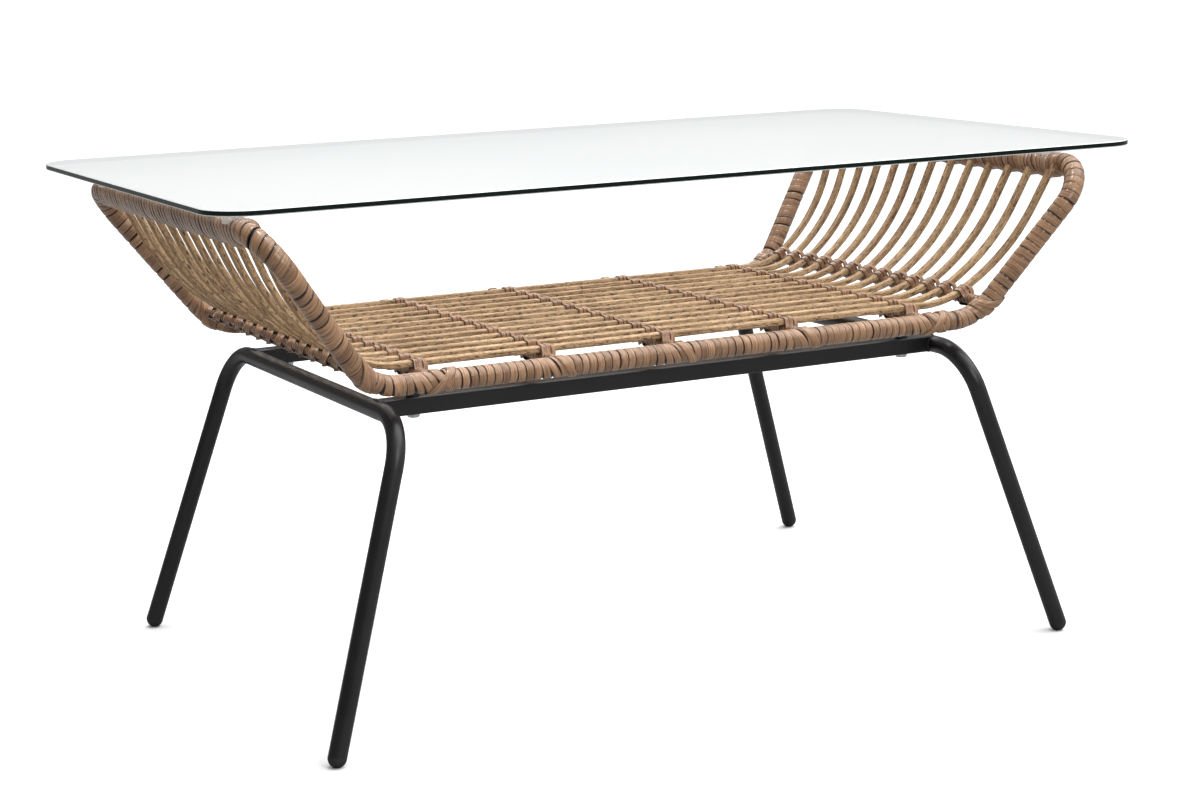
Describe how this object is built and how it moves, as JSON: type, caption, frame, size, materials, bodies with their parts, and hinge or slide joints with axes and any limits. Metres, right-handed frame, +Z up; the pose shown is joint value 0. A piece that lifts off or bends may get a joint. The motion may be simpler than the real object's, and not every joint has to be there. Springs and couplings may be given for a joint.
{
  "type": "coffee table",
  "caption": "Low rectangular coffee table with a clear glass top over an open woven basket shelf, on two splayed bent-tube leg frames.",
  "frame": {"origin": "on the floor under the middle of the table", "axes": "+X along the long side of the top, +Y to the back, +Z up"},
  "size_m": [0.9, 0.5, 0.46],
  "materials": {
    "glass": "clear tempered, polished edge",
    "clear_pad": "clear soft pad",
    "rim_steel": "black, satin",
    "wrap_strip": "brown flat strip, semi-gloss",
    "slat_weave": "golden brown with dark flecks",
    "leg_steel": "black powder coat, satin",
    "foot_plastic": "black",
    "zinc_steel": "zinc plated"
  },
  "bodies": {
    "root": {"glass_top": "glass", "glass_pads": "clear_pad", "rim_rail_front": "rim_steel", "rim_rail_back": "rim_steel", "rim_hoop_left": "rim_steel", "rim_hoop_right": "rim_steel", "crossbar_1": "rim_steel", "crossbar_2": "rim_steel", "crossbar_3": "rim_steel", "crossbar_4": "rim_steel", "crossbar_5": "rim_steel", "crossbar_6": "rim_steel", "crossbar_7": "rim_steel", "slat_01": "slat_weave", "slat_02": "slat_weave", "slat_03": "slat_weave", "slat_04": "slat_weave", "slat_05": "slat_weave", "slat_06": "slat_weave", "slat_07": "slat_weave", "slat_08": "slat_weave", "slat_09": "slat_weave", "slat_10": "slat_weave", "slat_11": "slat_weave", "slat_12": "slat_weave", "slat_13": "slat_weave", "wrap_front": "wrap_strip", "wrap_back": "wrap_strip", "wrap_left": "wrap_strip", "wrap_right": "wrap_strip", "lashing_1": "wrap_strip", "lashing_2": "wrap_strip", "lashing_3": "wrap_strip", "lashing_4": "wrap_strip", "lashing_5": "wrap_strip", "lashing_6": "wrap_strip", "lashing_7": "wrap_strip", "leg_frame_left": "leg_steel", "leg_frame_right": "leg_steel", "foot_cap_1": "foot_plastic", "foot_cap_2": "foot_plastic", "foot_cap_3": "foot_plastic", "foot_cap_4": "foot_plastic", "side_bar_front": "leg_steel", "side_bar_back": "leg_steel", "basket_bosses": "rim_steel", "frame_screws": "zinc_steel"}
  },
  "joints": []
}
